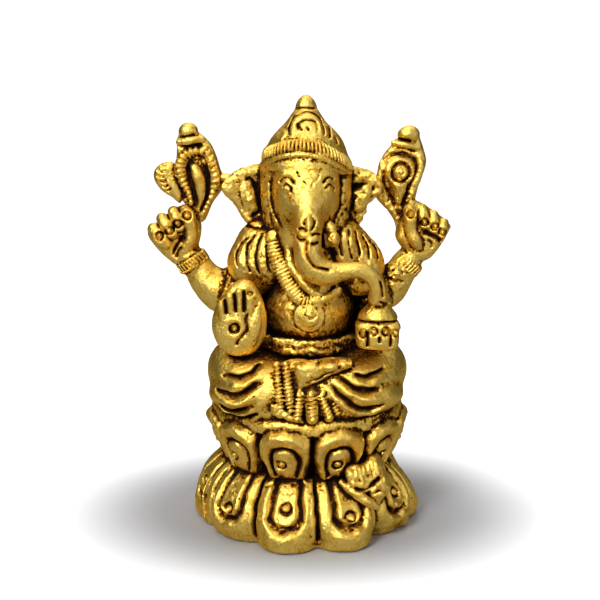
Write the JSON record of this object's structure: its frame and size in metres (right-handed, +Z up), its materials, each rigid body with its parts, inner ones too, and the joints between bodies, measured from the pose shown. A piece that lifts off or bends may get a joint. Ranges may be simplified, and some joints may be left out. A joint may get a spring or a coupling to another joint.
{
  "type": "seated elephant-headed deity statuette",
  "caption": "Cast brass figurine of a seated elephant-headed deity on a two-tier lotus base, with raised rear arms, a blessing hand and a trunk reaching a bowl.",
  "frame": {"origin": "centre of the flat underside of the lotus base", "axes": "+Z up through the crown; the figure faces -Y; its own right side is at -X"},
  "size_m": [0.0538, 0.0413, 0.076],
  "materials": {
    "worn_brass": "antiqued, high spots rubbed bright, dark patina left in the recesses",
    "dark_brass": "antiqued, mostly brown patina with rubbed ridges"
  },
  "bodies": {
    "root": {"lotus_skirt": "worn_brass", "lotus_seat": "worn_brass", "mouse": "worn_brass", "torso": "dark_brass", "right_leg": "worn_brass", "left_leg": "worn_brass", "right_foot": "worn_brass", "belt": "dark_brass", "sash_tails": "dark_brass", "right_shawl": "dark_brass", "left_shawl": "dark_brass", "garland": "worn_brass", "pendant": "worn_brass", "head": "worn_brass", "trunk": "worn_brass", "left_tusk": "worn_brass", "right_ear": "worn_brass", "left_ear": "worn_brass", "crown": "worn_brass", "crown_band": "worn_brass", "crown_finial": "worn_brass", "rear_right_arm": "worn_brass", "rear_left_arm": "worn_brass", "right_bangle": "worn_brass", "left_bangle": "worn_brass", "right_emblem": "worn_brass", "left_emblem": "worn_brass", "blessing_arm": "worn_brass", "blessing_palm": "worn_brass", "offering_arm": "worn_brass", "offering_hand": "worn_brass", "sweet_bowl": "worn_brass"}
  },
  "joints": []
}
